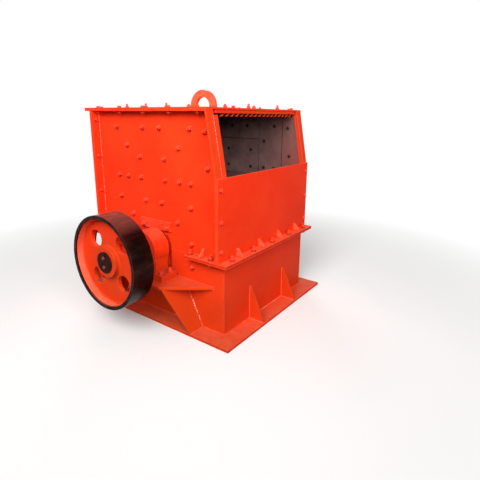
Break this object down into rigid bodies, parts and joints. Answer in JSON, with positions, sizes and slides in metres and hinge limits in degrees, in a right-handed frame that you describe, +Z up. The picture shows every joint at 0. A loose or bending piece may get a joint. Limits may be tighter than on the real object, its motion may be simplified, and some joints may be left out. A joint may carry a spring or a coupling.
{
  "type": "box-type hammer crusher",
  "caption": "Box-shaped hammer crusher: bolted plate housing with a sloping feed mouth, and a hammer rotor driven through a belt pulley.",
  "frame": {"origin": "middle of the discharge opening, level with the underside of the base plate", "axes": "+X along the rotor shaft, away from the pulley; -Y towards the feed side; +Z up"},
  "size_m": [1.81, 1.548, 1.705],
  "materials": {
    "painted_steel": "glossy orange-red enamel on welded plate",
    "painted_casting": "glossy orange-red enamel on a casting",
    "wear_plate": "bare brown-grey wear plate with a breath of red overspray",
    "shaft_steel": "turned steel",
    "pulley_rim": "dark glossy running face, orange-red inside",
    "dark_cap": "dark oiled steel",
    "rotor_steel": "rough rolled steel",
    "hammer_casting": "rough manganese steel casting"
  },
  "bodies": {
    "housing": {"base_flange": "painted_steel", "base_gussets": "painted_steel", "lower_front_wall": "painted_steel", "lower_back_wall": "painted_steel", "lower_left_wall": "painted_steel", "lower_right_wall": "painted_steel", "lower_split_flange": "painted_steel", "upper_split_flange": "painted_steel", "split_flange_gussets": "painted_steel", "left_bearing_shelf": "painted_steel", "right_bearing_shelf": "painted_steel", "left_bracket_gussets": "painted_steel", "right_bracket_gussets": "painted_steel", "left_bearing_housing": "painted_casting", "right_bearing_housing": "painted_casting", "left_shaft_covers": "painted_steel", "right_shaft_covers": "painted_steel", "upper_left_wall": "painted_steel", "upper_right_wall": "painted_steel", "front_plate": "painted_steel", "back_plate": "painted_steel", "top_plate": "painted_steel", "left_mouth_bar": "painted_steel", "right_mouth_bar": "painted_steel", "mouth_lintel": "painted_steel", "curtain_comb": "painted_steel", "lifting_lug": "painted_steel", "left_side_liners": "wear_plate", "right_side_liners": "wear_plate", "back_liners": "wear_plate", "front_liners": "wear_plate", "top_liners": "wear_plate"},
    "rotor": {"rotor_shaft": "shaft_steel", "drive_pulley": "painted_casting", "pulley_rim": "pulley_rim", "shaft_end_cap": "dark_cap", "rotor_discs": "rotor_steel", "rotor_spacers": "rotor_steel", "hammer_pins": "shaft_steel", "hammers": "hammer_casting"}
  },
  "joints": [
    {"name": "rotor_spin", "type": "hinge", "parent": "housing", "child": "rotor", "pos_m": [0, 0, 0.553], "axis": [1, 0, 0], "continuous": true}
  ]
}
